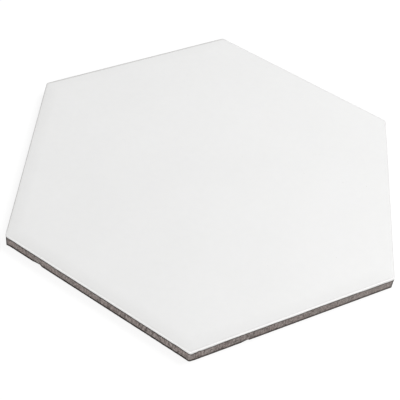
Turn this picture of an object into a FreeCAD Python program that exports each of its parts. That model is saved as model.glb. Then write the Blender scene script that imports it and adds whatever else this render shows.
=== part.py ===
# Hexagonal porcelain floor tile, pressed, glazed and fired in one piece, lying on its back
import FreeCAD, Part
import math
import os

# All sizes are in millimetres. The origin is the middle of the tile's foot, +Z is up towards the
# glazed face, two flats face +X and -X, and two corners point along +Y and -Y.

# Slab
ACROSS_FLATS = 219.0
THICKNESS = 9.0
CORNER_RADIUS = 1.8
FACE_ARRIS_RADIUS = 0.9
FOOT_ARRIS = 0.7
UPRIGHT_BAND = 3.0
SIDE_DRAFT = 0.2

# Key pattern pressed into the back: a honeycomb of shallow pockets inside a plain rim
POCKET_RINGS = 5
RIM_WIDTH = 9.0
RIB_WIDTH = 3.0
POCKET_DEPTH = 1.4
POCKET_DRAFT_DEG = 30.0

# Break-outs: two kinds of channel that lead from the pockets out through the rim.
# Each kind lies on every other side, at its own distance from the corner before it.
WIDE_BREAKOUT_FROM_CORNER = 22.4
WIDE_BREAKOUT_WIDTH = 7.2
WIDE_BREAKOUT_DEPTH = 1.3
NARROW_BREAKOUT_FROM_CORNER = 33.2
NARROW_BREAKOUT_WIDTH = 5.5
NARROW_BREAKOUT_DEPTH = 1.1
BREAKOUT_STEEP_FLANK = 1.2

# How far a cutting shape stands out past the surface that it cuts
CUT_OVERRUN = 2.0

SIDES = 6
HALF_SIDE_ANGLE = math.pi / SIDES
APOTHEM = ACROSS_FLATS / 2.0
SIDE_LENGTH = 2.0 * APOTHEM * math.tan(HALF_SIDE_ANGLE)


def polar(radius, angle, z):
    """Point at a distance and an angle from the tile's axis, at the height z."""
    return FreeCAD.Vector(radius * math.cos(angle), radius * math.sin(angle), z)


def hexagon(apothem, corner_radius, z):
    """Level outline of the tile at the height z: a hexagon with rounded corners, a flat facing +X."""
    corner_reach = apothem / math.cos(HALF_SIDE_ANGLE)
    arc_centre_reach = corner_reach - corner_radius / math.cos(HALF_SIDE_ANGLE)
    edges = []
    last_end = None
    first_start = None
    for side in range(SIDES):
        corner_angle = (2 * side + 1) * HALF_SIDE_ANGLE
        centre = polar(arc_centre_reach, corner_angle, z)
        start = centre + polar(corner_radius, corner_angle - HALF_SIDE_ANGLE, 0.0)
        crest = centre + polar(corner_radius, corner_angle, 0.0)
        end = centre + polar(corner_radius, corner_angle + HALF_SIDE_ANGLE, 0.0)
        if last_end is None:
            first_start = start
        else:
            edges.append(Part.LineSegment(last_end, start).toShape())
        edges.append(Part.Arc(start, crest, end).toShape())
        last_end = end
    edges.append(Part.LineSegment(last_end, first_start).toShape())
    return Part.Wire(edges)


def edges_at_height(solid, z):
    """Edges of a solid that lie wholly in the level plane at z."""
    return [
        edge for edge in solid.Edges
        if abs(edge.BoundBox.ZMin - z) < 1e-4 and abs(edge.BoundBox.ZMax - z) < 1e-4
    ]


def slab():
    """The tile before its back is pressed. Its sides stand upright below the face and draw in
    towards the foot, the face arris is rounded and the foot arris is bevelled."""
    foot = hexagon(APOTHEM - SIDE_DRAFT, CORNER_RADIUS - SIDE_DRAFT, 0.0)
    band = hexagon(APOTHEM, CORNER_RADIUS, THICKNESS - UPRIGHT_BAND)
    face = hexagon(APOTHEM, CORNER_RADIUS, THICKNESS)
    block = Part.makeLoft([foot, band, face], True, True)
    block = block.makeFillet(FACE_ARRIS_RADIUS, edges_at_height(block, THICKNESS))
    return block.makeChamfer(FOOT_ARRIS, edges_at_height(block, 0.0))


def pocket_pitch():
    """Distance between pocket centres that fills the back from its middle out to the rim."""
    corner_share = 1.0 / math.cos(HALF_SIDE_ANGLE) / 2.0
    row_share = math.cos(HALF_SIDE_ANGLE)
    field = APOTHEM - RIM_WIDTH + RIB_WIDTH * corner_share
    return field / (POCKET_RINGS * row_share + corner_share)


def outer_row_apothem():
    """Distance from the tile's axis to the line through the centres of an outermost row."""
    return POCKET_RINGS * pocket_pitch() * math.cos(HALF_SIDE_ANGLE)


def pocket_centres():
    """Centres of the pockets: a triangular lattice cut to a hexagon that is turned like the tile."""
    pitch = pocket_pitch()
    along = polar(pitch, HALF_SIDE_ANGLE, 0.0)
    across = polar(pitch, 3 * HALF_SIDE_ANGLE, 0.0)
    steps = range(-POCKET_RINGS, POCKET_RINGS + 1)
    return [
        along * i + across * j
        for i in steps
        for j in steps
        if abs(i + j) <= POCKET_RINGS
    ]


def frustum(low, high):
    """Flat-sided solid between two level outlines with as many points, both anticlockwise from above."""
    loop = list(zip(low, low[1:] + low[:1], high[1:] + high[:1], high))
    outlines = [low[::-1], high] + [list(quad) for quad in loop]
    faces = [Part.Face(Part.makePolygon(points + points[:1])) for points in outlines]
    return Part.Solid(Part.Shell(faces))


def pocket():
    """One pocket as a cutting shape at the origin: a hexagonal cup that narrows upwards."""
    mouth_apothem = (pocket_pitch() - RIB_WIDTH) / 2.0
    slope = math.tan(math.radians(POCKET_DRAFT_DEG))
    levels = [-CUT_OVERRUN, POCKET_DEPTH]
    reaches = [(mouth_apothem - z * slope) / math.cos(HALF_SIDE_ANGLE) for z in levels]
    below, floor = [
        [polar(reach, 2 * corner * HALF_SIDE_ANGLE, z) for corner in range(SIDES)]
        for reach, z in zip(reaches, levels)
    ]
    return frustum(below, floor)


def breakout(from_corner, width, depth):
    """One break-out as a cutting shape on the +X side: it deepens gently and ends in a steep flank."""
    inner_end = outer_row_apothem()
    length = APOTHEM + CUT_OVERRUN - inner_end
    middle = from_corner - SIDE_LENGTH / 2.0
    start = middle - width / 2.0
    end = middle + width / 2.0
    section = [
        FreeCAD.Vector(inner_end, start, -CUT_OVERRUN),
        FreeCAD.Vector(inner_end, start, 0.0),
        FreeCAD.Vector(inner_end, end - BREAKOUT_STEEP_FLANK, depth),
        FreeCAD.Vector(inner_end, end, 0.0),
        FreeCAD.Vector(inner_end, end, -CUT_OVERRUN),
    ]
    profile = Part.Face(Part.makePolygon(section + section[:1]))
    return profile.extrude(FreeCAD.Vector(length, 0.0, 0.0))


def turned(shape, sides):
    """A copy of a shape, turned about the tile's axis by a number of sides."""
    copy = shape.copy()
    copy.rotate(FreeCAD.Vector(0, 0, 0), FreeCAD.Vector(0, 0, 1), sides * 360.0 / SIDES)
    return copy


def moved(shape, offset):
    """A copy of a shape, moved by an offset."""
    copy = shape.copy()
    copy.translate(offset)
    return copy


def hexagon_tile():
    """The whole tile: the slab with its honeycomb back and the break-outs through its rim."""
    cup = pocket()
    cups = [moved(cup, centre) for centre in pocket_centres()]
    wide = breakout(WIDE_BREAKOUT_FROM_CORNER, WIDE_BREAKOUT_WIDTH, WIDE_BREAKOUT_DEPTH)
    narrow = breakout(NARROW_BREAKOUT_FROM_CORNER, NARROW_BREAKOUT_WIDTH, NARROW_BREAKOUT_DEPTH)
    every_other = range(0, SIDES, 2)
    channels = [turned(wide, side) for side in every_other]
    channels += [turned(narrow, side + 1) for side in every_other]
    return slab().cut(cups).cut(channels)


os.makedirs("parts", exist_ok=True)
tile = hexagon_tile()
tile.exportStep("parts/hexagon_tile.step")
box = tile.optimalBoundingBox()
print("hexagon_tile: valid", tile.isValid(), "solids", len(tile.Solids), "faces", len(tile.Faces))
print("pocket pitch", round(pocket_pitch(), 3), "volume in ml", round(tile.Volume / 1000.0, 2))
print("size", round(box.XLength, 3), round(box.YLength, 3), round(box.ZLength, 3))
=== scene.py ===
"""Hexagon floor tile: matte white glaze on a pressed taupe body, lying on a pale studio floor."""

import logging
import math
from dataclasses import dataclass
from enum import IntEnum

import bmesh
import bpy
import numpy as np
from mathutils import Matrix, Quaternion, Vector


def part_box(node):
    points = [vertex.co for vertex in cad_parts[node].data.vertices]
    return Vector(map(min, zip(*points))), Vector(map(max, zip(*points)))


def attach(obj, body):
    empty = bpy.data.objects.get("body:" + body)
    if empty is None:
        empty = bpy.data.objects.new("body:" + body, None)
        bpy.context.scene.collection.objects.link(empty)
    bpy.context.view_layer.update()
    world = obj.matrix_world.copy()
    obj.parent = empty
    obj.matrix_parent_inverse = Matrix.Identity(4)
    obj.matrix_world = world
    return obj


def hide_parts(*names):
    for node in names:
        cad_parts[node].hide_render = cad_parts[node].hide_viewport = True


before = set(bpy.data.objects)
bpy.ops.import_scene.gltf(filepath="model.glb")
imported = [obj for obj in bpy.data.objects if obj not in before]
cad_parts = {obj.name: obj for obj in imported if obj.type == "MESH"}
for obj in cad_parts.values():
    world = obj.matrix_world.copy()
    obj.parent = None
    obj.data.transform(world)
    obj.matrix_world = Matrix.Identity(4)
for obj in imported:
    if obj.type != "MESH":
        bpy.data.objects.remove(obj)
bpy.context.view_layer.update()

Array = np.ndarray
Colour = tuple[float, float, float]
Pair = tuple[float, float]
Profile = tuple[Pair, ...]
# One value for each side, anticlockwise from the side that faces +X
PerSide = tuple[float, ...]
# One value for each corner, anticlockwise from the corner before that side
PerCorner = tuple[float, ...]

MM = 0.001
NODE = "hexagon_tile"
BODY = "root"
PIECE = "glazed_hexagon_tile"

SIDES = 6
HALF_SIDE_ANGLE = math.pi / SIDES

# What every point of the back carries for the materials, by Skin's labels
BACK = {"under_glaze": 1.0, "on_back": 1.0}

log = logging.getLogger("hexagon_tile")


class Finish(IntEnum):
    """The material slots of the tile's surface."""

    GLAZE = 0
    BARE_BODY = 1


def rounded_hexagon(
    apothem: float, radius: float, arc_steps: int, straight_steps: int, turn: float = 0.0
) -> tuple[Array, Array]:
    """Points round a hexagon with rounded corners, and the outward direction at each of them.

    A round brush is carried along a smaller hexagon, the core. On each side the brush turns from
    -30 to 0 degrees at one corner, slides along the core's side, and turns from 0 to 30 degrees at
    the next corner. Each point is the brush's centre plus the radius times the brush's direction.

    Args:
        apothem: Distance from the middle to a side.
        radius: Radius of the brush, which is the corners' radius.
        arc_steps: Steps round each corner, an even number.
        straight_steps: Steps along each side.
        turn: Direction of the first side, as an angle from +X.

    Returns:
        Points and unit directions, each as an array of rows (x, y), anticlockwise from a corner tip.
    """
    steps = arc_steps + straight_steps
    half_arc = arc_steps / 2
    knots = [0, half_arc, steps - half_arc, steps]
    half_run = (apothem - radius) * math.tan(HALF_SIDE_ANGLE)
    step = np.arange(steps)
    sweep = np.interp(step, knots, [-HALF_SIDE_ANGLE, 0.0, 0.0, HALF_SIDE_ANGLE])
    slide = np.interp(step, knots, [-half_run, -half_run, half_run, half_run])
    side = turn + 2 * HALF_SIDE_ANGLE * np.arange(SIDES)[:, None]
    brush = np.stack([np.cos(side + sweep), np.sin(side + sweep)], axis=-1)
    centre_x = (apothem - radius) * np.cos(side) - slide * np.sin(side)
    centre_y = (apothem - radius) * np.sin(side) + slide * np.cos(side)
    points = np.stack([centre_x, centre_y], axis=-1) + radius * brush
    return points.reshape(-1, 2), brush.reshape(-1, 2)


def crowded(share: Array) -> Array:
    """Steps along an edge, bunched towards both of its ends: the share less a sine ripple.

    Args:
        share: Even steps from 0 to 1.

    Returns:
        The bunched steps, also from 0 to 1 and alike from either end.
    """
    bunching = 0.6
    return share - bunching * np.sin(2 * math.pi * share) / (2 * math.pi)


def ring_quads(rows: int, columns: int) -> Array:
    """Faces between closed rings that follow each other, as rows of four point numbers.

    Args:
        rows: How many rings there are.
        columns: How many points each ring has.

    Returns:
        One quad for each step round each pair of rings. It looks to the right of the way from
        one ring to the next, with the rings running anticlockwise.
    """
    number = np.arange(rows * columns).reshape(rows, columns)
    after = np.roll(number, -1, axis=1)
    quads = np.stack([number[:-1], number[1:], after[1:], after[:-1]], axis=-1)
    return quads.reshape(-1, 4)


def halving_triangles(fine: int, inwards_up: bool) -> Array:
    """Faces between a ring and a ring with half as many points, whose numbers follow the first's.

    Args:
        fine: How many points the fine ring has.
        inwards_up: True where the coarse ring lies inside the fine one and the faces look up.

    Returns:
        Three triangles for each step of the coarse ring.
    """
    left = np.arange(0, fine, 2)
    middle = left + 1
    right = (left + 2) % fine
    near = fine + left // 2
    far = fine + right // 2
    triangles = np.concatenate(
        [
            np.stack([left, near, middle], axis=-1),
            np.stack([middle, near, far], axis=-1),
            np.stack([middle, far, right], axis=-1),
        ]
    )
    return triangles[:, ::-1] if inwards_up else triangles


def hexagon_lattice(rings: int, reach: float, turn: float, up: bool) -> tuple[Array, Array]:
    """A hexagon filled with equal triangles, as rings of points round its middle.

    Ring k holds 6 k points. On each side they lie on the straight line from one corner of the
    ring to the next, whose distance from the middle is the reach times k over the number of rings.

    Args:
        rings: How many rings there are.
        reach: Distance from the middle to a corner.
        turn: Direction of the first side, as an angle from +X.
        up: True where the faces look up.

    Returns:
        Points as rows (x, y), the outer ring last, and triangles as rows of point numbers.
    """
    angle = turn - HALF_SIDE_ANGLE + 2 * HALF_SIDE_ANGLE * np.arange(SIDES + 1)
    corner = reach * np.stack([np.cos(angle), np.sin(angle)], axis=-1)
    points = [np.zeros((1, 2))]
    triangles = []
    first_inner = 0
    first_outer = 1
    for ring in range(1, rings + 1):
        side, step = [grid.ravel() for grid in np.indices((SIDES, ring))]
        share = (step / ring)[:, None]
        points.append((corner[side] * (1 - share) + corner[side + 1] * share) * ring / rings)
        outer_count = SIDES * ring
        inner_count = max(SIDES * (ring - 1), 1)
        outer = first_outer + side * ring + step
        outer_next = first_outer + (side * ring + step + 1) % outer_count
        inner = first_inner + (side * (ring - 1) + step) % inner_count
        inner_next = first_inner + (side * (ring - 1) + step + 1) % inner_count
        triangles.append(np.stack([inner, outer, outer_next], axis=-1))
        between = step < ring - 1
        triangles.append(np.stack([inner, outer_next, inner_next], axis=-1)[between])
        first_inner = first_outer
        first_outer += outer_count
    faces = np.concatenate(triangles)
    return np.concatenate(points), faces if up else faces[:, ::-1]


def smooth_step(low: float, high: float, value: Array) -> Array:
    """Rises from 0 at low to 1 at high along the curve 3 t^2 - 2 t^3."""
    share = np.clip((value - low) / (high - low), 0.0, 1.0)
    return share * share * (3 - 2 * share)


@dataclass(frozen=True)
class Easing:
    """A value that goes smoothly from its start to its end while another goes from low to high."""

    low: float
    high: float
    start: float
    end: float

    def at(self, other: Array) -> Array:
        """The value at each of the other's values, along smooth_step's curve."""
        return self.start + (self.end - self.start) * smooth_step(self.low, self.high, other)


def closed_ripple(run: Array, length: float, cycles: tuple[int, int], seed: int) -> Array:
    """A smooth random line round a closed outline: a sum of cosines with whole numbers of cycles.

    Args:
        run: Distance along the outline.
        length: The outline's whole length.
        cycles: Fewest and most cycles of a cosine in the sum.
        seed: Seed of the cosines' phases and weights.

    Returns:
        The sum, scaled to a standard deviation of 1.
    """
    random = np.random.default_rng(seed)
    cycle = np.arange(cycles[0], cycles[1] + 1)
    phase = random.uniform(0, 2 * math.pi, cycle.size)
    weight = random.uniform(0.3, 1.0, cycle.size)
    waves = weight * np.cos(2 * math.pi * cycle * run[:, None] / length + phase)
    return waves.sum(axis=1) / math.sqrt(np.sum(weight**2) / 2)


def plane_ripple(place: Array, wavelength: float, seed: int) -> Array:
    """A smooth random surface: a sum of cosine waves that cross it in many directions.

    Args:
        place: Points as rows (x, y).
        wavelength: Mean length of a wave.
        seed: Seed of the waves' directions, lengths and phases.

    Returns:
        The sum at each point, scaled to a standard deviation of 1.
    """
    random = np.random.default_rng(seed)
    waves = 9
    heading = random.uniform(0, 2 * math.pi, waves)
    pull = 2 * math.pi / (wavelength * random.uniform(0.7, 1.5, waves))
    phase = random.uniform(0, 2 * math.pi, waves)
    travel = place[:, :1] * np.cos(heading) + place[:, 1:2] * np.sin(heading)
    return np.cos(travel * pull + phase).sum(axis=1) / math.sqrt(waves / 2)


class Skin:
    """A closed surface that is gathered from patches, whose shared borders are merged at the end.

    Each point carries seven numbers for the materials: its distance under the glaze's lower edge in
    metres, the painted light on the glaze from -1 for painted shade to 1 for painted highlight, how
    deeply the side is scored from 0 to 1, how strong its two painted shade lines under the glaze's
    lip and at the foot are from 0 to 1, how much paler the side is coloured near some corners from 0
    to 1, the painted light on its upright arris from -1 for painted highlight to 1 for painted shade,
    and the share of it that belongs to the back.
    """

    LABELS = ("under_glaze", "glaze_tone", "scored", "shade_lines", "corner_paling", "arris_painted_light", "on_back")
    MERGE_DISTANCE = 0.002 * MM
    CREASE_ANGLE = math.radians(48)

    def __init__(self) -> None:
        """Starts with no points and no faces."""
        self.points: list[Array] = []
        self.faces: list[list[int]] = []
        self.finishes: list[int] = []
        self.numbers: dict[str, list[Array]] = {label: [] for label in self.LABELS}
        self.count = 0

    def add(self, points: Array, faces: Array, finish: Array | int, **numbers: Array | float) -> None:
        """Adds one patch.

        Args:
            points: Rows (x, y, z).
            faces: Rows of point numbers, counted from the patch's first point.
            finish: Material slot of all the faces, or of each face.
            numbers: What the points carry, by label. A number that isn't given is 0.
        """
        self.points.append(points)
        self.faces += (faces + self.count).tolist()
        self.finishes += np.broadcast_to(finish, len(faces)).tolist()
        for label, gathered in self.numbers.items():
            gathered.append(np.broadcast_to(numbers.get(label, 0.0), len(points)))
        self.count += len(points)

    def build(self, name: str, materials: list[bpy.types.Material]) -> bpy.types.Object:
        """Makes the object, with borders merged, faces smooth and true creases kept.

        Args:
            name: Name of the object and its mesh.
            materials: The material of each slot.

        Returns:
            The object, at the origin.
        """
        mesh = bpy.data.meshes.new(name)
        mesh.from_pydata(np.concatenate(self.points).tolist(), [], self.faces)
        for material in materials:
            mesh.materials.append(material)
        mesh.polygons.foreach_set("material_index", self.finishes)
        for label, gathered in self.numbers.items():
            layer = mesh.attributes.new(label, "FLOAT", "POINT")
            layer.data.foreach_set("value", np.concatenate(gathered).astype(np.float32))
        work = bmesh.new()
        work.from_mesh(mesh)
        bmesh.ops.remove_doubles(work, verts=work.verts, dist=self.MERGE_DISTANCE)
        open_edges = sum(not edge.is_manifold for edge in work.edges)
        work.to_mesh(mesh)
        work.free()
        mesh.shade_smooth()
        mesh.set_sharp_from_angle(angle=self.CREASE_ANGLE)
        piece = bpy.data.objects.new(name, mesh)
        bpy.context.scene.collection.objects.link(piece)
        counts = (len(mesh.vertices), len(mesh.polygons), open_edges)
        log.info("%s: %d points, %d faces, %d open edges", name, *counts)
        return piece


@dataclass(frozen=True)
class Breakout:
    """A channel from the pockets out through the rim, on every other side of the tile."""

    first_side: int
    from_corner: float
    width: float
    depth: float
    steep_flank: float = 1.2 * MM

    def depth_at(self, run: Array) -> Array:
        """Depth across the channel: it eases in from one side and drops back in a steep flank.

        Args:
            run: Distance from the corner before it, along the side.

        Returns:
            The depth, 0 outside the channel.
        """
        start = self.from_corner - self.width / 2
        end = self.from_corner + self.width / 2
        crest = end - self.steep_flank
        return self.depth * np.interp(run, [start, crest, end], [0.0, 1.0, 0.0])


@dataclass(frozen=True)
class GlazeRun:
    """A place where the glaze hangs lower or stops higher than the rest of its lower edge."""

    side: int
    from_corner: float
    half_width: float
    drop: float

    @classmethod
    def in_millimetres(cls, side: int, *sizes: float) -> "GlazeRun":
        """A run on a side, from its three sizes in millimetres."""
        return cls(side, *(size * MM for size in sizes))


# Side, distance from the corner before it, half width and drop of each run, in millimetres
GLAZE_RUNS = (
    (5, 1.3, 1.1, 0.50),
    (5, 2.6, 0.6, -0.20),
    (5, 3.5, 1.2, 0.25),
    (5, 5.0, 0.8, -0.50),
    (5, 10.2, 5.0, 0.38),
    (5, 28.0, 8.0, -0.15),
    (5, 62.0, 6.0, 0.15),
    (5, 85.0, 15.0, -0.14),
    (5, 114.0, 10.0, 0.34),
    (5, 122.0, 1.2, 0.30),
    (5, 124.4, 1.3, 0.35),
    (4, 2.2, 1.5, 0.40),
    (4, 119.0, 2.6, -0.26),
)


@dataclass
class Honeycomb:
    """The key pattern on the back: rows of hexagonal pockets between ribs."""

    field_apothem: float
    rings: int = 5
    rib_width: float = 3.0 * MM
    depth: float = 1.4 * MM
    draft: float = math.radians(30)
    corner_radius: float = 1.7 * MM
    softness: float = 0.22 * MM
    floor_share: float = 0.72
    floor_sag: float = 0.08 * MM
    edge_steps: int = 8

    @property
    def pitch(self) -> float:
        """Distance between pocket centres at which the outermost pockets' corners reach the rim.

        In pitches, the outermost row of centres lies the number of rings times cos 30 out, and a
        cell's corner 0.5 / cos 30 further. The pocket's corner lies half a rib / cos 30 short of it.

        Returns:
            The pitch.
        """
        corner_share = 0.5 / math.cos(HALF_SIDE_ANGLE)
        field = self.field_apothem + self.rib_width * corner_share
        return field / (self.rings * math.cos(HALF_SIDE_ANGLE) + corner_share)

    @property
    def outer_row(self) -> float:
        """Distance from the middle to the line through an outermost row of centres."""
        return self.rings * self.pitch * math.cos(HALF_SIDE_ANGLE)

    def centres(self) -> Array:
        """Centres of the pockets: whole steps of a lattice, cut to a hexagon.

        Returns:
            Rows (x, y).
        """
        step = np.arange(-self.rings, self.rings + 1)
        first, second = [grid.ravel() for grid in np.meshgrid(step, step)]
        inside = np.abs(first + second) <= self.rings
        along = np.array([math.cos(HALF_SIDE_ANGLE), math.sin(HALF_SIDE_ANGLE)])
        return self.pitch * (first[inside, None] * along + second[inside, None] * np.array([0.0, 1.0]))

    def zigzag(self, edge_steps: int) -> Array:
        """The outer edge of the outermost cells, from a point over a tile corner anticlockwise.

        On the side that faces +X the line's y grows evenly from edge to edge, and its x swings
        between the cells' outer corners and the notches between cells, like a triangle wave.

        Args:
            edge_steps: Steps on each edge of a cell.

        Returns:
            Rows (x, y).
        """
        reach = self.pitch / 2 / math.cos(HALF_SIDE_ANGLE)
        edges = 2 * self.rings + 1
        place = 0.5 + np.arange(edges * edge_steps) / edge_steps
        whole = np.floor(place)
        place = whole + crowded(place - whole)
        wave = 1 - np.abs(np.mod(place, 2) - 1)
        x = self.outer_row + reach / 2 * (1 + wave)
        y = (place - self.rings - 1) * self.pitch / 2
        side = 2 * HALF_SIDE_ANGLE * np.arange(SIDES)[:, None]
        turned = [x * np.cos(side) - y * np.sin(side), x * np.sin(side) + y * np.cos(side)]
        return np.stack(turned, axis=-1).reshape(-1, 2)

    def cell(self) -> tuple[Array, Array]:
        """One cell at the origin: half the rib round it, the pocket's wall and its floor.

        The rib's centre line is a sharp hexagon. Inside it lie rings of rounded hexagons, each with
        its own apothem and height: three where the rib bends into the wall and three where the wall
        bends into the floor, all spaced by shares of the softness. A ring with half as many points
        and a lattice fill the floor, which sags towards its middle.

        Returns:
            Points as rows (x, y, z), and triangles and split quads as rows of three numbers.
        """
        mouth = (self.pitch - self.rib_width) / 2
        slope = math.tan(self.draft)
        soft = self.softness
        levels = [
            (mouth + 1.6 * soft, 0.0),
            (mouth + 0.3 * soft, 0.3 * soft),
            (mouth - 0.9 * soft, 1.3 * soft),
            (mouth - (self.depth - 1.3 * soft) * slope, self.depth - 1.3 * soft),
            (mouth - self.depth * slope - 0.8 * soft, self.depth - 0.2 * soft),
            (mouth - self.depth * slope - 3.0 * soft, self.depth),
        ]
        turn = HALF_SIDE_ANGLE
        arc_steps = self.edge_steps // 2
        straight_steps = self.edge_steps - arc_steps
        count = SIDES * self.edge_steps
        rings = [self.cell_border()]
        for apothem, height in levels:
            radius = self.corner_radius + (apothem - mouth) / 2
            ring, _ = rounded_hexagon(apothem, radius, arc_steps, straight_steps, turn)
            rings.append(np.column_stack([ring, np.full(count, height)]))
        wall = ring_quads(len(rings), count)
        floor_rings = self.edge_steps // 2
        floor_reach = self.floor_share * mouth / math.cos(HALF_SIDE_ANGLE)
        floor, floor_faces = hexagon_lattice(floor_rings, floor_reach, turn, up=False)
        sag = self.floor_sag * (1 - np.sum(floor**2, axis=1) / floor_reach**2)
        floor = np.column_stack([floor, self.depth + sag])
        last = len(rings) * count
        seam = np.concatenate([rings[-1], floor[-count // 2:]])
        points = np.concatenate([*rings, seam, floor])
        faces = np.concatenate(
            [
                wall[:, [0, 1, 2]],
                wall[:, [0, 2, 3]],
                halving_triangles(count, inwards_up=False) + last,
                floor_faces + last + len(seam),
            ]
        )
        return points, faces

    def cell_border(self) -> Array:
        """The rib's centre line round one cell: straight edges with steps bunched at the corners.

        Returns:
            Rows (x, y, 0), anticlockwise from the corner towards +X.
        """
        reach = self.pitch / 2 / math.cos(HALF_SIDE_ANGLE)
        angle = 2 * HALF_SIDE_ANGLE * np.arange(SIDES + 1)
        corner = reach * np.stack([np.cos(angle), np.sin(angle)], axis=-1)
        share = crowded(np.arange(self.edge_steps) / self.edge_steps)[None, :, None]
        line = corner[:-1, None] * (1 - share) + corner[1:, None] * share
        flat = line.reshape(-1, 2)
        return np.column_stack([flat, np.zeros(len(flat))])


@dataclass
class Tile:
    """The tile's whole surface: glazed face, edge band, rim and honeycomb back."""

    across_flats: float
    thickness: float
    corner_radius: float = 1.84 * MM
    arris_radius: float = 0.7 * MM
    arris_angles: tuple[float, ...] = (90.0, 75.0, 60.0, 45.0, 30.0, 15.0)
    upright_band: float = 3.0 * MM
    side_draft: float = 0.05 * MM
    rim_width: float = 9.0 * MM
    arc_steps: int = 12
    body_rows: int = 11
    rim_rows: tuple[float, ...] = (0.12, 0.3, 0.5, 0.7, 0.85)

    # The face falls below the top plane by a mean fall and two ripples. A ring of points, the
    # fence, and a lattice of triangles start at these distances from its edge.
    mean_fall: float = 0.045 * MM
    swell: float = 0.020 * MM
    swell_length: float = 90 * MM
    dimple: float = 0.006 * MM
    dimple_length: float = 22 * MM
    level_margin: float = 8.0 * MM
    first_rows: Pair = (1.0 * MM, 0.5 * MM)
    fence_inset: float = 4.0 * MM
    fence_radius: float = 0.8 * MM
    # Share of the margin's painted shade that the fence carries
    fence_painted_shade: float = 0.7
    lattice_inset: float = 9.0 * MM

    # The glaze's lower edge. Each row of its bead is drawn in by a share of the film's thickness
    # and raised by a share of the bead's height. The last row is on the body.
    glaze_edge: float = 1.10 * MM
    glaze_film: float = 0.08 * MM
    glaze_waver: float = 0.035 * MM
    glaze_tremble: float = 0.020 * MM
    bead: float = 0.10 * MM
    bead_profile: Profile = ((0.0, 1.0), (0.2, 0.35), (0.8, 0.0), (1.25, -0.3))
    glaze_runs: tuple[GlazeRun, ...] = tuple(GlazeRun.in_millimetres(*row) for row in GLAZE_RUNS)

    # The bare body. It stands back by a share of the film, starts a share of the bead below the
    # glaze and ends a share of the bevel above the foot. The foot's rows are shares of the bevel.
    body_step: float = 1.1
    body_start: float = 1.2
    body_end: float = 1.15
    foot_profile: Profile = ((0.03, 0.92), (0.16, 0.72), (0.52, 0.36), (0.86, 0.09), (1.1, 0.0))
    grain_depth: float = 0.028 * MM
    grain_seed: int = 21
    comb_depth: float = 0.030 * MM
    flush_smoothing: float = 0.8

    # What differs from side to side, blended over a short way at the corners
    # Painted light on the glaze, by side: near arrises painted lighter as highlight (above 0), far arrises,
    # shoulders and face margins painted darker as shade (below 0)
    arris_light_and_shade: PerSide = (-0.10, -0.10, -0.38, -0.64, 1.00, 1.00)
    shoulder_painted_shade: PerSide = (-0.02, -0.06, -0.60, -0.16, -0.18, -0.20)
    margin_painted_shade: PerSide = (0.00, -0.02, -0.06, -0.11, -0.13, -0.07)
    foot_bevels: PerSide = (0.4 * MM, 0.5 * MM, 0.35 * MM, 0.45 * MM, 0.62 * MM, 0.10 * MM)
    # Strength of each side's painted shade lines under the glaze's lip and at the foot
    shade_line_strengths: PerSide = (0.7, 0.85, 0.8, 0.75, 1.0, 0.76)
    side_blend: float = 5.0 * MM

    # What differs from corner to corner, and how far along the sides it reaches
    # How much paler the bare side is coloured near each corner
    corner_paleness: PerCorner = (1.0, 0.3, 0.0, 0.5, 0.0, 0.0)
    paleness_reach: float = 50 * MM
    # Painted light on each upright corner arris: painted shade above 0, painted highlight below 0
    corner_arris_light: PerCorner = (0.9, 0.4, 0.2, 0.5, 0.95, -0.25)
    arris_light_reach: float = 1.35 * MM
    corner_feet: PerCorner = (0.15 * MM, 0.1 * MM, 0.2 * MM, 0.0, -0.2 * MM, 0.1 * MM)
    foot_reach: float = 1.6 * MM
    flush_corners: PerCorner = (1.0, 0.3, 0.0, 0.2, 1.0, 0.0)
    sharp_corners: PerCorner = (1.0, 1.0, 0.0, 0.0, 0.0, 0.0)
    sharp_radius: float = 0.6 * MM
    sharp_reach: float = 2.6 * MM

    # How deeply the press scored the two photographed sides along their length, and the others
    scored_side: int = 4
    scored_before: Easing = Easing(low=0.45, high=0.75, start=0.43, end=0.90)
    scored_after: Easing = Easing(low=0.0, high=0.8, start=0.72, end=0.32)
    scored_patches: Easing = Easing(low=-0.2, high=1.6, start=0.0, end=1.0)

    # The break-outs fade over this range from the outer row of pocket centres, and lift the side's
    # rows up to this height
    breakouts: tuple[Breakout, ...] = (
        Breakout(first_side=0, from_corner=22.4 * MM, width=7.2 * MM, depth=1.3 * MM),
        Breakout(first_side=1, from_corner=33.2 * MM, width=5.5 * MM, depth=1.1 * MM),
    )
    breakout_fade: Pair = (-1.0 * MM, 0.6 * MM)
    lift_height: float = 4.0 * MM

    def __post_init__(self) -> None:
        """Works out the outline's columns from the honeycomb's steps, so that the two meet."""
        self.apothem = self.across_flats / 2
        self.side_length = self.across_flats * math.tan(HALF_SIDE_ANGLE)
        self.honeycomb = Honeycomb(self.apothem - self.rim_width)
        self.side_steps = 2 * self.honeycomb.edge_steps * (2 * self.honeycomb.rings + 1)
        self.straight_steps = self.side_steps - self.arc_steps
        self.columns = SIDES * self.side_steps
        self.outline, self.outward = rounded_hexagon(
            self.apothem, self.corner_radius, self.arc_steps, self.straight_steps
        )
        sharp, _ = rounded_hexagon(self.apothem, self.sharp_radius, self.arc_steps, self.straight_steps)
        self.flush = self.near_corners(self.flush_corners, self.sharp_reach)
        self.sharp = self.near_corners(self.sharp_corners, self.sharp_reach)
        self.sharpening = sharp - self.outline
        steps = np.linalg.norm(np.roll(self.outline, -1, axis=0) - self.outline, axis=1)
        self.run = np.concatenate([[0.0], np.cumsum(steps[:-1])])
        self.perimeter = float(steps.sum())

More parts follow.
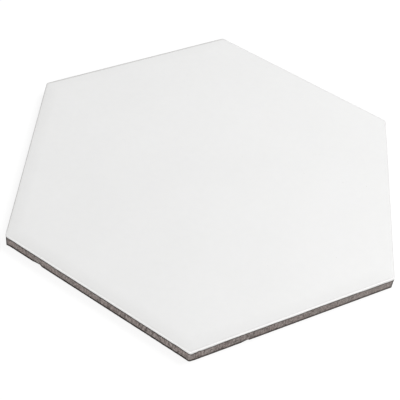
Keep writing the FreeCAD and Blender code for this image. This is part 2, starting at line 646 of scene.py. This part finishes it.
    def near_corners(self, values: tuple[float, ...], reach: float) -> Array:
        """A value for each column, which each corner sets and which fades to 0 along both its sides.

        The fade is the bell exp(-(d / reach)^4), where d is the distance from the nearest corner.

        Args:
            values: Value at the tip of each corner, the first for the corner before the +X side.
            reach: Distance over which the value fades.

        Returns:
            The value in each column.
        """
        side, _, along = self.side_places(self.outline)
        corner = np.where(along < self.side_length / 2, side, side + 1) % SIDES
        distance = np.minimum(along, self.side_length - along)
        return np.array(values)[corner] * np.exp(-((distance / reach) ** 4))

    def ring(self, inset: Array, height: Array, sharpened: Array | float = 0.0) -> Array:
        """The outline drawn in by an inset, at a height, with its corners sharpened by a share.

        Args:
            inset: How far each column is drawn in.
            height: Height of each column.
            sharpened: Share by which each column moves to the outline with sharp corners.

        Returns:
            Rows (x, y, z).
        """
        share = np.broadcast_to(sharpened, self.columns)[:, None]
        flat = self.outline + share * self.sharpening - inset[:, None] * self.outward
        return np.column_stack([flat, height])

    def side_places(self, place: Array) -> tuple[Array, Array, Array]:
        """Where points lie with regard to the side of the hexagon that is nearest to them.

        Args:
            place: Rows (x, y).

        Returns:
            Number of the side, distance from the middle square to it, and distance from the
            corner before it.
        """
        side = 2 * HALF_SIDE_ANGLE * np.arange(SIDES)
        reach = place[:, :1] * np.cos(side) + place[:, 1:2] * np.sin(side)
        along = place[:, 1:2] * np.cos(side) - place[:, :1] * np.sin(side)
        nearest = np.argmax(reach, axis=1)
        row = np.arange(len(place))
        return nearest, reach[row, nearest], along[row, nearest] + self.side_length / 2

    def channel_depth(self, side: Array, run: Array) -> Array:
        """Depth of the break-outs where they cross the rim.

        Args:
            side: Number of the side.
            run: Distance from the corner before it.

        Returns:
            The depth at each place, 0 outside the break-outs.
        """
        depth = np.zeros(len(side))
        for breakout in self.breakouts:
            on_side = side % 2 == breakout.first_side
            depth = np.where(on_side, np.maximum(depth, breakout.depth_at(run)), depth)
        return depth

    def breakout_depth(self, place: Array) -> Array:
        """Depth of the break-outs at points of the back, which fades where they meet the pockets.

        Args:
            place: Rows (x, y).

        Returns:
            The depth at each point.
        """
        side, reach, run = self.side_places(place)
        inner_end = self.honeycomb.outer_row
        fade_start, fade_end = self.breakout_fade
        fade = smooth_step(inner_end + fade_start, inner_end + fade_end, reach)
        return self.channel_depth(side, run) * fade

    def ripple(self, cycles: tuple[int, int], seed: int) -> Array:
        """A smooth random value for each column, by closed_ripple round the tile's outline."""
        return closed_ripple(self.run, self.perimeter, cycles, seed)

    def glaze_line(self) -> Array:
        """Height of the glaze's lower edge: a wavering line that drops where the glaze runs.

        A run's drop fades from its middle as the bell exp(-(d / half width)^4).

        Returns:
            The height in each column.
        """
        waver = self.glaze_waver * self.ripple(cycles=(12, 60), seed=3)
        tremble = self.glaze_tremble * self.ripple(cycles=(90, 260), seed=4)
        side, _, along = self.side_places(self.outline)
        drop = np.zeros(self.columns)
        for glaze_run in self.glaze_runs:
            bell = np.exp(-(((along - glaze_run.from_corner) / glaze_run.half_width) ** 4))
            drop += np.where(side == glaze_run.side, glaze_run.drop * bell, 0.0)
        return self.thickness - self.glaze_edge + waver + tremble - drop

    def side_by_side(self, values: tuple[float, ...]) -> Array:
        """A value for each column: each side's own, blended with its neighbour's near the corners.

        Args:
            values: One value for each side, the first for the side that faces +X.

        Returns:
            The value in each column.
        """
        side, _, along = self.side_places(self.outline)
        own = np.array(values)
        before = (own[side - 1] + own[side]) / 2
        after = (own[side] + own[(side + 1) % SIDES]) / 2
        near_start = 1 - smooth_step(0.0, self.side_blend, along)
        near_end = smooth_step(self.side_length - self.side_blend, self.side_length, along)
        inner = own[side]
        return inner + (before - inner) * near_start + (after - inner) * near_end

    def scoring(self) -> Array:
        """How deeply each column is scored by the press: deepest round the near corner of the photo.

        The side before that corner grows rougher towards it, the side after it grows smoother away
        from it, and the other sides are scored in patches.

        Returns:
            Values from 0 to 1.
        """
        side, _, along = self.side_places(self.outline)
        share = along / self.side_length
        before = side == self.scored_side
        after = side == self.scored_side + 1
        patches = self.scored_patches.at(self.ripple(cycles=(3, 11), seed=31))
        photographed = np.where(before, self.scored_before.at(share), self.scored_after.at(share))
        return np.where(before | after, photographed, patches)

    def add_face(self, skin: Skin, first_row: Array) -> None:
        """The glazed face, from the edge band's first row inwards, barely uneven.

        Args:
            skin: The surface to add to.
            first_row: The edge band's first row.
        """
        half = self.columns // 2
        quarter = self.columns // 4
        fence_apothem = self.apothem - self.fence_inset
        fence, _ = rounded_hexagon(
            fence_apothem, self.fence_radius, self.arc_steps, self.straight_steps
        )
        fence = self.on_face(fence[::2])
        lattice_rings = quarter // SIDES
        lattice_reach = (self.apothem - self.lattice_inset) / math.cos(HALF_SIDE_ANGLE)
        middle, middle_faces = hexagon_lattice(lattice_rings, lattice_reach, 0.0, up=True)
        middle = self.on_face(middle)
        # The margin and the fence carry the painted shade of the face's margins
        margin = self.side_by_side(self.margin_painted_shade)
        fence_painted_shade = self.fence_painted_shade * margin[::2]
        skin.add(
            np.concatenate([first_row, fence]),
            halving_triangles(self.columns, inwards_up=True),
            Finish.GLAZE,
            glaze_tone=np.concatenate([margin, fence_painted_shade]),
        )
        skin.add(
            np.concatenate([fence, middle[-quarter:]]),
            halving_triangles(half, inwards_up=True),
            Finish.GLAZE,
            glaze_tone=np.concatenate([fence_painted_shade, np.zeros(quarter)]),
        )
        skin.add(middle, middle_faces, Finish.GLAZE)

    def on_face(self, place: Array) -> Array:
        """Points of the glazed face, which falls away a little by a mean fall and two soft ripples.

        Args:
            place: Rows (x, y).

        Returns:
            Rows (x, y, z).
        """
        swell = self.swell * plane_ripple(place, self.swell_length, seed=11)
        dimple = self.dimple * plane_ripple(place, self.dimple_length, seed=12)
        fall = np.clip(self.mean_fall + swell + dimple, 0.0, None)
        _, reach, _ = self.side_places(place)
        fall *= smooth_step(0.0, self.level_margin, self.apothem - reach)
        return np.column_stack([place, self.thickness - fall])

    def edge_rows(self, glaze_line: Array) -> tuple[list[tuple[Array, Array]], int]:
        """The edge band's rows from the face down to the foot, as pairs of inset and height.

        A quarter circle leads from the face into the side. Below it the glaze ends in a small
        rounded bead, and the bare body stands back by the glaze's film. It draws in evenly below
        the upright band and ends in a bevel whose ends are rounded.

        Args:
            glaze_line: Height of the glaze's lower edge in each column.

        Returns:
            The rows, and how many of them are glazed.
        """
        ones = np.ones(self.columns)
        top = self.thickness
        radius = self.arris_radius
        rows = [((radius + inset) * ones, top * ones) for inset in self.first_rows]
        for angle in np.radians(self.arris_angles):
            inset = radius * (1 - math.cos(angle))
            rows.append((inset * ones, (top - radius * (1 - math.sin(angle))) * ones))
        for film_share, bead_share in self.bead_profile:
            rows.append((film_share * self.glaze_film * ones, glaze_line + bead_share * self.bead))
        glazed = len(rows) - 1
        foot_bevel = self.side_by_side(self.foot_bevels)
        foot_bevel += self.near_corners(self.corner_feet, self.foot_reach)
        first = glaze_line - self.body_start * self.bead
        last = self.body_end * foot_bevel
        for share in np.linspace(0, 1, self.body_rows):
            height = first * (1 - share) + last * share
            rows.append((self.body_inset(height), height))
        foot_inset = self.body_inset(np.zeros(self.columns))
        for inset_share, height_share in self.foot_profile:
            rows.append((foot_inset + inset_share * foot_bevel, height_share * foot_bevel))
        return rows, glazed

    def standing_out(self, height: Array) -> Array:
        """How far the body's flush corners have come forward at a height, from 0 to 1 at the foot."""
        return self.flush * np.clip(1 - height / (self.thickness - self.glaze_edge), 0.0, 1.0)

    def body_inset(self, height: Array) -> Array:
        """How far the bare side stands back from the outline at a height."""
        drawn_in = self.side_draft * np.clip(1 - height / (self.thickness - self.upright_band), 0.0, 1.0)
        return (self.body_step * self.glaze_film + drawn_in) * (1 - self.standing_out(height))

    def edge_band(self) -> tuple[Array, Array, int]:
        """The edge band as rings of points, roughened, and with its foot lifted at the break-outs.

        Returns:
            Points by row and column, their distance below the glaze's edge, and the number of
            glazed rows.
        """
        glaze_line = self.glaze_line()
        rows, glazed = self.edge_rows(glaze_line)
        side, _, along = self.side_places(self.outline)
        lift = self.channel_depth(side, along)
        random = np.random.default_rng(self.grain_seed)
        grain = self.grain_depth * np.abs(random.normal(size=(len(rows), self.columns)))
        comb = self.comb_depth * self.scoring() * np.abs(self.ripple(cycles=(180, 420), seed=22))
        rings = []
        for number, (inset, height) in enumerate(rows):
            bare = float(number > glazed)
            raised = height + lift * np.clip(1 - height / self.lift_height, 0.0, 1.0)
            forward = bare * self.standing_out(height)
            rough = bare * (grain[number] + comb) * (1 - self.flush_smoothing * forward)
            pointed = self.sharp * np.clip(1 - inset / self.arris_radius, 0.0, 1.0)
            rings.append(self.ring(inset + rough, raised, np.maximum(forward, pointed)))
        band = np.stack(rings)
        return band, glaze_line - band[:, :, 2], glazed

    def add_rim(self, skin: Skin, last_row: Array) -> None:
        """The plain rim of the back, from the foot's last row in to the honeycomb's outer edge.

        Each point lies on the straight way from a point of the foot to the zigzag's point in the
        same column.

        Args:
            skin: The surface to add to.
            last_row: The edge band's last row.
        """
        steps = self.honeycomb.edge_steps
        fine = self.honeycomb.zigzag(2 * steps)
        rings = [last_row]
        for share in self.rim_rows:
            flat = last_row[:, :2] * (1 - share) + fine * share
            rings.append(np.column_stack([flat, self.breakout_depth(flat)]))
        skin.add(np.concatenate(rings), ring_quads(len(rings), self.columns), Finish.BARE_BODY, **BACK)
        border = fine[::2]
        border = np.column_stack([border, self.breakout_depth(border)])
        seam = np.concatenate([rings[-1], border])
        skin.add(seam, halving_triangles(self.columns, inwards_up=False), Finish.BARE_BODY, **BACK)

    def add_pockets(self, skin: Skin) -> None:
        """Every pocket of the back, with the break-outs cut into those that they meet.

        Args:
            skin: The surface to add to.
        """
        cell, faces = self.honeycomb.cell()
        for centre in self.honeycomb.centres():
            points = cell + np.append(centre, 0.0)
            points[:, 2] = np.maximum(points[:, 2], self.breakout_depth(points[:, :2]))
            skin.add(points, faces, Finish.BARE_BODY, **BACK)

    def build(self, materials: list[bpy.types.Material]) -> bpy.types.Object:
        """Makes the whole tile as one closed mesh.

        Args:
            materials: The material of each Finish.

        Returns:
            The tile's object.
        """
        skin = Skin()
        band, below, glazed = self.edge_band()
        rows = len(band)
        self.add_face(skin, band[0])
        row_of_quad = np.repeat(np.arange(rows - 1), self.columns)
        by_column = {
            "scored": self.scoring(),
            "shade_lines": self.side_by_side(self.shade_line_strengths),
            "corner_paling": self.near_corners(self.corner_paleness, self.paleness_reach),
            "arris_painted_light": self.near_corners(self.corner_arris_light, self.arris_light_reach),
        }
        foot_start = rows - len(self.foot_profile)
        skin.add(
            band.reshape(-1, 3),
            ring_quads(rows, self.columns),
            np.where(row_of_quad < glazed - 1, Finish.GLAZE, Finish.BARE_BODY),
            under_glaze=below.ravel(),
            glaze_tone=self.band_painted_light(rows).ravel(),
            on_back=np.repeat(smooth_step(foot_start, rows - 1, np.arange(rows)), self.columns),
            **{label: np.tile(values, rows) for label, values in by_column.items()},
        )
        self.add_rim(skin, band[-1])
        self.add_pockets(skin)
        return skin.build(PIECE, materials)

    def band_painted_light(self, rows: int) -> Array:
        """The painted highlight and shade on the glaze down the edge band: the face's margin, the shoulder,
        then the arris.

        It goes from the margin's to the shoulder's over the first row, and from the
        shoulder's to the arris's from the third row to the fifth.

        Args:
            rows: How many rows the band has.

        Returns:
            The painted light by row and column.
        """
        row = np.arange(rows)[:, None]
        margin = self.side_by_side(self.margin_painted_shade)
        shoulder = self.side_by_side(self.shoulder_painted_shade)
        arris = self.side_by_side(self.arris_light_and_shade)
        to_shoulder = (shoulder - margin) * smooth_step(0, 1, row)
        return margin + to_shoulder + (arris - shoulder) * smooth_step(2, 4, row)


class Sheet:
    """A node tree that is being written."""

    def __init__(self, tree: bpy.types.NodeTree) -> None:
        """Starts on an empty tree."""
        self.tree = tree
        tree.nodes.clear()

    def feed(self, socket: bpy.types.NodeSocket, value: object) -> None:
        """Links a source to an input, or sets the input's own value.

        Args:
            socket: The input.
            value: The source's socket, or a value.
        """
        if isinstance(value, bpy.types.NodeSocket):
            self.tree.links.new(value, socket)
        else:
            socket.default_value = value

    def node(
        self, kind: str, sockets: dict[str | int, object] | None = None, **settings: object
    ) -> bpy.types.Node:
        """Adds a node.

        Args:
            kind: Blender's name of the node's type.
            sockets: Value or source socket of each input, by the input's name or number.
            settings: The node's own settings.

        Returns:
            The node.
        """
        node = self.tree.nodes.new(kind)
        for name, value in settings.items():
            setattr(node, name, value)
        for name, value in (sockets or {}).items():
            self.feed(node.inputs[name], value)
        return node

    def attribute(self, label: str) -> bpy.types.NodeSocket:
        """Reads one of the numbers that the skin's points carry."""
        return self.node("ShaderNodeAttribute", attribute_name=label).outputs["Fac"]

    def noise(self, vector: bpy.types.NodeSocket, scale: object, detail: float) -> bpy.types.Node:
        """Adds a noise texture: output 0 is its value and output 1 its colour."""
        return self.node("ShaderNodeTexNoise", {"Vector": vector, "Scale": scale, "Detail": detail})

    def placed(self, group: bpy.types.NodeTree, sockets: dict[str, object]) -> bpy.types.NodeSocket:
        """Places a group with its own values, and returns its first output."""
        return self.node("ShaderNodeGroup", sockets, node_tree=group).outputs[0]

    def blend(self, factor: object, first: object, second: object) -> bpy.types.NodeSocket:
        """Mixes two colours.

        Args:
            factor: Share of the second colour.
            first: The first colour, or its socket.
            second: The second colour, or its socket.

        Returns:
            The mixed colour's socket.
        """
        mix = self.node("ShaderNodeMix", data_type="RGBA", blend_type="MIX")
        for number, value in ((0, factor), (6, first), (7, second)):
            self.feed(mix.inputs[number], (*value, 1.0) if isinstance(value, tuple) else value)
        return mix.outputs[2]

    def maths(self, operation: str, *values: object) -> bpy.types.NodeSocket:
        """Works out one sum, and returns its result's socket."""
        return self.node("ShaderNodeMath", dict(enumerate(values)), operation=operation).outputs[0]

    def times(self, first: object, second: object) -> bpy.types.NodeSocket:
        """Multiplies two numbers, and returns the product's socket."""
        return self.maths("MULTIPLY", first, second)

    def ranged(self, value: object, source: Pair, target: Pair = (0.0, 1.0)) -> bpy.types.NodeSocket:
        """Maps a value from one range to another, clamped, and returns the result's socket.

        Args:
            value: The value, or its socket.
            source: Where the value's range starts and ends. It may run downwards.
            target: What the range's start and end become.

        Returns:
            The result's socket.
        """
        limits = dict(zip(("From Min", "From Max", "To Min", "To Max"), (*source, *target)))
        return self.node("ShaderNodeMapRange", {"Value": value, **limits}).outputs[0]


def group_shell(name: str, inputs: dict[str, float | None], outputs: tuple[str, ...]) -> bpy.types.NodeTree:
    """A node group with named sockets and nothing in it.

    Args:
        name: Name of the group.
        inputs: Default of each number input, or None for a vector.
        outputs: Names of the number outputs.

    Returns:
        The group.
    """
    group = bpy.data.node_groups.new(name, "ShaderNodeTree")
    for label, default in inputs.items():
        kind = "NodeSocketVector" if default is None else "NodeSocketFloat"
        socket = group.interface.new_socket(label, in_out="INPUT", socket_type=kind)
        if default is not None:
            socket.default_value = default
    for label in outputs:
        group.interface.new_socket(label, in_out="OUTPUT", socket_type="NodeSocketFloat")
    return group


def clay_mottle() -> bpy.types.NodeTree:
    """Cloudy unevenness of fired clay or glaze: broad clouds with finer ones laid over them.

    Returns:
        A group that takes Vector, Broad Scale, Fine Scale and Fine Share and gives Tone, 0 to 1.
    """
    inputs = {"Vector": None, "Broad Scale": 30.0, "Fine Scale": 300.0, "Fine Share": 0.4}
    group = group_shell("clay_mottle", inputs, ("Tone",))
    sheet = Sheet(group)
    given = sheet.node("NodeGroupInput").outputs
    broad = sheet.noise(given["Vector"], given["Broad Scale"], detail=3.0).outputs[0]
    fine = sheet.noise(given["Vector"], given["Fine Scale"], detail=2.0).outputs[0]
    broad_share = sheet.maths("SUBTRACT", 1.0, given["Fine Share"])
    both = sheet.maths("ADD", sheet.times(broad, broad_share), sheet.times(fine, given["Fine Share"]))
    usual_range = (0.34, 0.66)
    tone = sheet.ranged(both, usual_range)
    sheet.node("NodeGroupOutput", {"Tone": tone})
    return group


def scattered_specks() -> bpy.types.NodeTree:
    """Small round specks, one at most in each cell of a random pattern, and none in most cells.

    Returns:
        A group that takes Vector, Scale, Size, Share and Raggedness, the distance by which an
        outline strays, and gives Mask, 1 inside a speck.
    """
    inputs = {"Vector": None, "Scale": 600.0, "Size": 0.3, "Share": 0.2, "Raggedness": 0.5 * MM}
    group = group_shell("scattered_specks", inputs, ("Mask",))
    sheet = Sheet(group)
    given = sheet.node("NodeGroupInput").outputs
    stray_fineness = 1.7
    least_size = 0.4
    soft_edge = 0.35
    finer = sheet.times(given["Scale"], stray_fineness)
    stray = sheet.noise(given["Vector"], finer, detail=2.0).outputs[1]
    middle = (0.5, 0.5, 0.5)
    centred = sheet.node("ShaderNodeVectorMath", {0: stray, 1: middle}, operation="SUBTRACT").outputs[0]
    reach = {0: centred, "Scale": given["Raggedness"]}
    moved = sheet.node("ShaderNodeVectorMath", reach, operation="SCALE").outputs[0]
    place = sheet.node("ShaderNodeVectorMath", {0: given["Vector"], 1: moved}, operation="ADD").outputs[0]
    cells = sheet.node("ShaderNodeTexVoronoi", {"Vector": place, "Scale": given["Scale"]})
    parts = sheet.node("ShaderNodeSeparateColor", {"Color": cells.outputs["Color"]})
    chosen = sheet.maths("LESS_THAN", parts.outputs[0], given["Share"])
    size = sheet.times(given["Size"], sheet.maths("ADD", parts.outputs[1], least_size))
    inside = sheet.maths("SUBTRACT", 1.0, sheet.maths("DIVIDE", cells.outputs["Distance"], size))
    mask = sheet.times(sheet.ranged(inside, (0.0, soft_edge)), chosen)
    sheet.node("NodeGroupOutput", {"Mask": mask})
    return group


@dataclass(frozen=True)
class MatteGlaze:
    """The white glaze: matte, with faint clouds, pinholes, the skin of an orange, and painted highlight and
    shade along its edges.
    """

    bright: Colour = (0.866, 0.866, 0.862)
    shade: Colour = (0.844, 0.844, 0.840)
    # Painted highlight and painted shade, laid on where the edge band's painted light says
    painted_highlight: Colour = (0.97, 0.968, 0.96)
    painted_shade: Colour = (0.50, 0.49, 0.475)
    pinhole: Colour = (0.60, 0.585, 0.56)
    pinhole_share: float = 0.5
    pinhole_depth: float = 1.5
    roughness: Pair = (0.45, 0.36)
    peel_scale: float = 420.0
    relief: float = 0.15 * MM
    relief_strength: float = 0.10
    refraction: float = 1.5

    def material(self, mottle: bpy.types.NodeTree, specks: bpy.types.NodeTree) -> bpy.types.Material:
        """Makes the material.

        Args:
            mottle: The clay_mottle group.
            specks: The scattered_specks group.

        Returns:
            The material.
        """
        material = bpy.data.materials.new("matte_white_glaze")
        material.use_nodes = True
        sheet = Sheet(material.node_tree)
        place = sheet.node("ShaderNodeTexCoord").outputs["Object"]
        clouds = {"Vector": place, "Broad Scale": 22.0, "Fine Scale": 260.0, "Fine Share": 0.35}
        tone = sheet.placed(mottle, clouds)
        holes = {"Vector": place, "Scale": 210.0, "Size": 0.055, "Share": 0.10, "Raggedness": 0.1 * MM}
        pinholes = sheet.placed(specks, holes)
        painted_light = sheet.attribute("glaze_tone")
        colour = sheet.blend(tone, self.shade, self.bright)
        # Painted highlight where the edge band's painted light is above 0, painted shade where it is below
        colour = sheet.blend(sheet.ranged(painted_light, (0.0, 1.0)), colour, self.painted_highlight)
        colour = sheet.blend(sheet.ranged(painted_light, (0.0, -1.0)), colour, self.painted_shade)
        colour = sheet.blend(sheet.times(pinholes, self.pinhole_share), colour, self.pinhole)
        rough = sheet.ranged(tone, (0.0, 1.0), self.roughness)
        peel = sheet.noise(place, self.peel_scale, detail=1.5).outputs[0]
        height = sheet.maths("SUBTRACT", peel, sheet.times(pinholes, self.pinhole_depth))
        relief = {"Strength": self.relief_strength, "Distance": self.relief, "Height": height}
        normal = sheet.node("ShaderNodeBump", relief).outputs[0]
        looks = {"Base Color": colour, "Roughness": rough, "Normal": normal, "IOR": self.refraction}
        shader = sheet.node("ShaderNodeBsdfPrincipled", looks)
        sheet.node("ShaderNodeOutputMaterial", {"Surface": shader.outputs[0]})
        return material


@dataclass(frozen=True)
class BareBody:
    """The fired clay of the sides and back: grainy taupe, painted darker at its arrises as shade."""

    warm_clay: Colour = (0.600, 0.492, 0.459)
    grey_clay: Colour = (0.541, 0.490, 0.464)
    dark_clay: Colour = (0.150, 0.125, 0.117)
    pale_grog: Colour = (0.66, 0.60, 0.575)
    dark_grog: Colour = (0.055, 0.046, 0.042)
    # Painted shade: the dark of the lines under the glaze's lip, at the foot and on the upright corner
    # arrises
    shade_line_dark: Colour = (0.018, 0.014, 0.012)
    powder: Colour = (0.54, 0.52, 0.485)
    gloss: float = 0.15
    ridge_tones: Pair = (0.45, 0.10)
    ridge_share: float = 0.5
    furrow_tones: Pair = (0.50, 0.85)
    furrow_share: float = 0.8
    speck_share: float = 0.6
    paleness_share: float = 0.15
    # Painted shade lines under the glaze's lip and at the foot, with the depths and heights over which they
    # fade
    lip_shade: float = 0.95
    lip_depths: Pair = (0.65 * MM, 1.25 * MM)
    foot_shade: float = 0.97
    foot_heights: Pair = (1.6 * MM, 2.9 * MM)
    powder_tones: Pair = (0.25, 0.85)
    powder_share: float = 0.65
    powder_in_pockets: float = 0.35
    powder_heights: Pair = (0.1 * MM, 0.9 * MM)
    roughness: Pair = (0.93, 0.80)
    comb_squeeze: tuple[float, float, float] = (1.0, 1.0, 0.2)
    comb_relief: float = 0.6
    relief: float = 0.12 * MM
    relief_strength: float = 0.45

    def material(self, mottle: bpy.types.NodeTree, specks: bpy.types.NodeTree) -> bpy.types.Material:
        """Makes the material.

        Args:
            mottle: The clay_mottle group.
            specks: The scattered_specks group.

        Returns:
            The material.
        """
        material = bpy.data.materials.new("bare_taupe_body")
        material.use_nodes = True
        sheet = Sheet(material.node_tree)
        place = sheet.node("ShaderNodeTexCoord").outputs["Object"]
        upright = sheet.node("ShaderNodeMapping", {"Vector": place, "Scale": self.comb_squeeze}).outputs[0]
        height = sheet.node("ShaderNodeSeparateXYZ", {"Vector": place}).outputs[2]
        scored = sheet.attribute("scored")
        shade_lines = sheet.attribute("shade_lines")
        mark = sheet.attribute("arris_painted_light")
        on_back = sheet.attribute("on_back")

        cloud_values = {"Vector": place, "Broad Scale": 110.0, "Fine Scale": 300.0, "Fine Share": 0.4}
        clouds = sheet.placed(mottle, cloud_values)
        grain_values = {"Vector": place, "Broad Scale": 1050.0, "Fine Scale": 2500.0, "Fine Share": 0.35}
        grain = sheet.placed(mottle, grain_values)
        comb_values = {"Vector": upright, "Broad Scale": 1000.0, "Fine Scale": 2200.0, "Fine Share": 0.35}
        comb = sheet.placed(mottle, comb_values)
        speck_values = {"Vector": place, "Size": 0.38, "Share": 0.26, "Raggedness": 1.6 * MM}
        pale = sheet.placed(specks, {"Scale": 820.0, **speck_values})
        dark = sheet.placed(specks, {"Scale": 900.0, **speck_values})

        clay = sheet.blend(clouds, self.grey_clay, self.warm_clay)
        colour = sheet.blend(grain, self.dark_clay, clay)
        ridge = sheet.times(sheet.ranged(comb, self.ridge_tones, (0.0, self.ridge_share)), scored)
        colour = sheet.blend(ridge, colour, self.pale_grog)
        furrow = sheet.times(sheet.ranged(comb, self.furrow_tones, (0.0, self.furrow_share)), scored)
        colour = sheet.blend(furrow, colour, self.dark_grog)
        colour = sheet.blend(sheet.times(pale, self.speck_share), colour, self.pale_grog)
        colour = sheet.blend(sheet.times(dark, self.speck_share), colour, self.dark_grog)
        # Paler towards some corners of the side
        corner_paling = sheet.times(sheet.attribute("corner_paling"), self.paleness_share)
        colour = sheet.blend(corner_paling, colour, self.powder)

        side_only = sheet.maths("SUBTRACT", 1.0, on_back)
        # Painted shade: a dark line under the glaze's lip and one at the foot
        at_lip = sheet.ranged(sheet.attribute("under_glaze"), self.lip_depths, (self.lip_shade, 0.0))
        shade_line_height = sheet.maths("DIVIDE", height, shade_lines)
        at_foot = sheet.ranged(shade_line_height, self.foot_heights, (self.foot_shade, 0.0))
        lines = sheet.times(sheet.maths("MAXIMUM", at_lip, sheet.times(at_foot, side_only)), shade_lines)
        # Upright corner arrises painted darker as shade or paler as highlight
        arris_shade = sheet.times(sheet.ranged(mark, (0.0, 1.0)), side_only)
        arris_highlight = sheet.times(sheet.ranged(mark, (0.0, -1.0)), side_only)
        colour = sheet.blend(arris_highlight, colour, self.pale_grog)
        colour = sheet.blend(sheet.maths("MAXIMUM", lines, arris_shade), colour, self.shade_line_dark)

        wash = sheet.ranged(grain, self.powder_tones, (0.0, self.powder_share))
        on_ribs = sheet.ranged(height, self.powder_heights, (1.0, self.powder_in_pockets))
        powder = sheet.times(sheet.times(wash, on_ribs), on_back)
        colour = sheet.blend(powder, colour, self.powder)

        rough = sheet.ranged(grain, (0.0, 1.0), self.roughness)
        surface = sheet.maths("ADD", grain, sheet.times(comb, self.comb_relief))
        relief = {"Strength": self.relief_strength, "Distance": self.relief, "Height": surface}
        normal = sheet.node("ShaderNodeBump", relief).outputs[0]
        looks = {"Base Color": colour, "Roughness": rough, "Normal": normal}
        shader = sheet.node("ShaderNodeBsdfPrincipled", {**looks, "Specular IOR Level": self.gloss})
        sheet.node("ShaderNodeOutputMaterial", {"Surface": shader.outputs[0]})
        return material


@dataclass(frozen=True)
class Softbox:
    """A square soft light that faces the tile, with its side in metres and its power in watts."""

    name: str
    place: tuple[float, float, float]
    size: float
    power: float

    def hang(self) -> None:
        """Makes the light and turns it towards the tile."""
        light = bpy.data.lights.new(self.name, "AREA")
        light.shape = "SQUARE"
        light.size = self.size
        light.energy = self.power
        lamp = bpy.data.objects.new(self.name, light)
        lamp.location = self.place
        lamp.rotation_mode = "QUATERNION"
        lamp.rotation_quaternion = (-Vector(self.place)).to_track_quat("-Z", "Y")
        bpy.context.scene.collection.objects.link(lamp)


@dataclass(frozen=True)
class Studio:
    """A pale floor, soft light and the photograph's point of view."""

    camera_place: tuple[float, float, float] = (-0.00432, -0.39962, 0.44595)
    camera_aim: tuple[float, float, float] = (-0.0035, -0.02099, 0.00833)
    camera_roll: float = math.radians(6.424)
    lens: float = 88.76
    sensor_width: float = 36.0
    clip: Pair = (0.01, 20.0)
    floor_half: float = 2.0
    floor_gap: float = 0.03 * MM
    floor_colour: Colour = (0.30, 0.30, 0.30)
    floor_clouds: float = 3.0
    floor_mottle: float = 0.99
    floor_glow: float = 0.77
    sky_strength: float = 0.36
    lamps: tuple[Softbox, ...] = (
        Softbox("front_light", (-0.13, -2.6, 2.2), 1.9, 56.2),
        Softbox("right_light", (0.46, 0.25, 0.82), 0.5, 4.0),
    )

    def seen_directly(self, sheet: Sheet) -> bpy.types.NodeSocket:
        """Tells the rays that show a surface directly, mirrored or refracted from those that light it.

        Args:
            sheet: The node tree to write in.

        Returns:
            A socket that is 1 for the first kind and 0 for the second.
        """
        path = sheet.node("ShaderNodeLightPath").outputs
        mirrored = sheet.maths("MAXIMUM", path["Is Glossy Ray"], path["Is Transmission Ray"])
        return sheet.maths("MAXIMUM", path["Is Camera Ray"], mirrored)

    def floor(self) -> None:
        """Makes the floor, which the camera sees as white except in the tile's soft shadow."""
        material = bpy.data.materials.new("pale_floor")
        material.use_nodes = True
        sheet = Sheet(material.node_tree)
        place = sheet.node("ShaderNodeTexCoord").outputs["Object"]
        clouds = sheet.noise(place, self.floor_clouds, detail=2.0).outputs[0]
        pale = tuple(channel * self.floor_mottle for channel in self.floor_colour)
        colour = sheet.blend(clouds, pale, self.floor_colour)
        matte = sheet.node("ShaderNodeBsdfDiffuse", {"Color": colour})
        strength = sheet.times(self.seen_directly(sheet), self.floor_glow)
        glow = sheet.node("ShaderNodeEmission", {"Strength": strength})
        both = sheet.node("ShaderNodeAddShader", {0: matte.outputs[0], 1: glow.outputs[0]})
        sheet.node("ShaderNodeOutputMaterial", {"Surface": both.outputs[0]})
        half = self.floor_half
        low = -self.floor_gap
        corners = [(-half, -half, low), (half, -half, low), (half, half, low), (-half, half, low)]
        mesh = bpy.data.meshes.new("studio_floor")
        mesh.from_pydata(corners, [], [(0, 1, 2, 3)])
        mesh.materials.append(material)
        floor = bpy.data.objects.new("studio_floor", mesh)
        bpy.context.scene.collection.objects.link(floor)

    def sky(self) -> None:
        """Lights the scene evenly from all sides, and shows white behind everything."""
        world = bpy.data.worlds.new("studio_sky")
        world.use_nodes = True
        sheet = Sheet(world.node_tree)
        seen = self.seen_directly(sheet)
        strength = sheet.ranged(seen, (0.0, 1.0), (self.sky_strength, 1.0))
        back = sheet.node("ShaderNodeBackground", {"Color": (1.0, 1.0, 1.0, 1.0), "Strength": strength})
        sheet.node("ShaderNodeOutputWorld", {"Surface": back.outputs[0]})
        bpy.context.scene.world = world

    def camera(self) -> None:
        """Puts the camera where the photograph was taken from, tilted as it was."""
        data = bpy.data.cameras.new("photo_view")
        data.lens = self.lens
        data.sensor_width = self.sensor_width
        data.clip_start, data.clip_end = self.clip
        camera = bpy.data.objects.new("photo_view", data)
        camera.location = self.camera_place
        way = Vector(self.camera_aim) - Vector(self.camera_place)
        level = way.to_track_quat("-Z", "Y")
        camera.rotation_mode = "QUATERNION"
        camera.rotation_quaternion = level @ Quaternion((0.0, 0.0, 1.0), self.camera_roll)
        bpy.context.scene.collection.objects.link(camera)
        bpy.context.scene.camera = camera

    def build(self) -> None:
        """Makes the floor, the lights and the camera."""
        self.floor()
        self.sky()
        for lamp in self.lamps:
            lamp.hang()
        self.camera()
        bpy.context.scene.view_settings.view_transform = "Standard"


def main() -> None:
    """Builds the tile from the frame's box, dresses it, and sets the studio round it."""
    logging.basicConfig(level=logging.INFO, format="%(name)s: %(message)s")
    low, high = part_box(NODE)
    tile = Tile(across_flats=high.x - low.x, thickness=high.z - low.z)
    mottle = clay_mottle()
    specks = scattered_specks()
    materials = [MatteGlaze().material(mottle, specks), BareBody().material(mottle, specks)]
    piece = tile.build(materials)
    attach(piece, BODY)
    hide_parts(NODE)
    log.info("tile dressed: %.1f mm across flats", tile.across_flats / MM)
    Studio().build()
    log.info("studio set")


if __name__ == "__main__":
    main()
